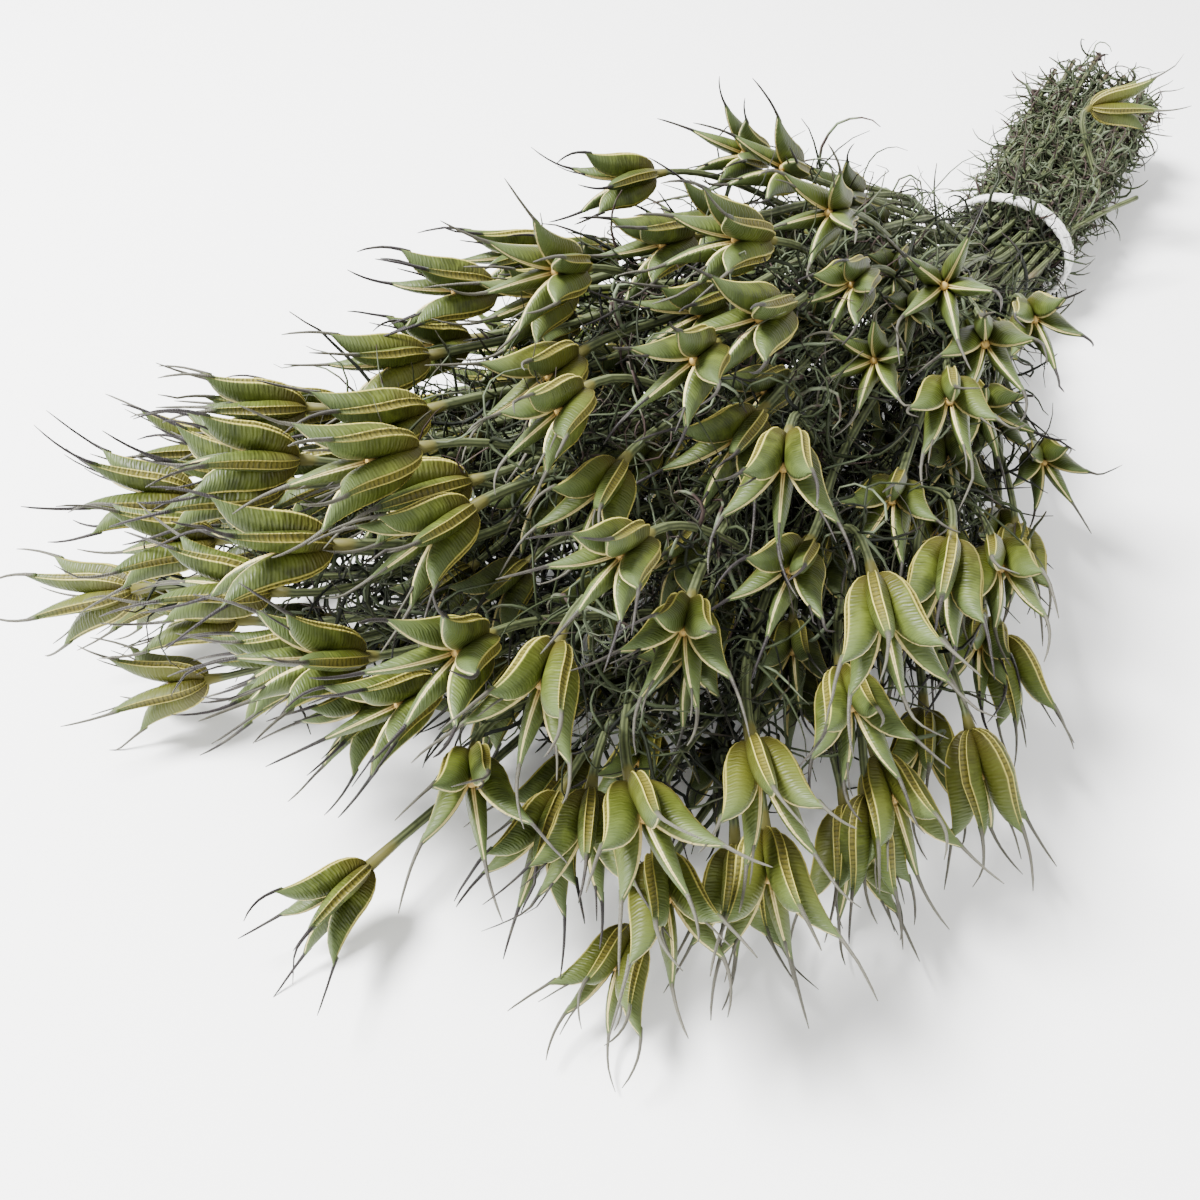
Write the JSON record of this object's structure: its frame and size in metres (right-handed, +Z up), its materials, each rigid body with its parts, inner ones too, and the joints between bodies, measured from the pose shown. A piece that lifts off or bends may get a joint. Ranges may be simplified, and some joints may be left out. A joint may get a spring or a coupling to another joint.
{
  "type": "dried nigella seed pod bunch",
  "caption": "Tied bunch of dried nigella stems with star-shaped beaked seed pods and thread leaves, lying on its side.",
  "frame": {"origin": "on the surface that the bunch lies on, under the middle of the tie", "axes": "+Z up from the surface, +Y along the stems towards the cut ends, pods towards -Y"},
  "size_m": [0.2466, 0.5295, 0.1347],
  "materials": {
    "plant": "dry, satin",
    "tie": "matt"
  },
  "bodies": {
    "root": {"stem_01": "plant", "stem_02": "plant", "stem_03": "plant", "stem_04": "plant", "stem_05": "plant", "stem_06": "plant", "stem_07": "plant", "stem_08": "plant", "stem_09": "plant", "stem_10": "plant", "stem_11": "plant", "stem_12": "plant", "stem_13": "plant", "stem_14": "plant", "stem_15": "plant", "stem_16": "plant", "stem_17": "plant", "stem_18": "plant", "stem_19": "plant", "stem_20": "plant", "stem_21": "plant", "stem_22": "plant", "stem_23": "plant", "stem_24": "plant", "stem_25": "plant", "stem_26": "plant", "stem_27": "plant", "stem_28": "plant", "stem_29": "plant", "stem_30": "plant", "stem_31": "plant", "stem_32": "plant", "stem_33": "plant", "stem_34": "plant", "stem_35": "plant", "stem_36": "plant", "stem_37": "plant", "stem_38": "plant", "stem_39": "plant", "stem_40": "plant", "stem_41": "plant", "stem_42": "plant", "stem_43": "plant", "stem_44": "plant", "stem_45": "plant", "stem_46": "plant", "loose_stem_1": "plant", "loose_stem_2": "plant", "turned_stem": "plant", "tie": "tie"}
  },
  "joints": []
}
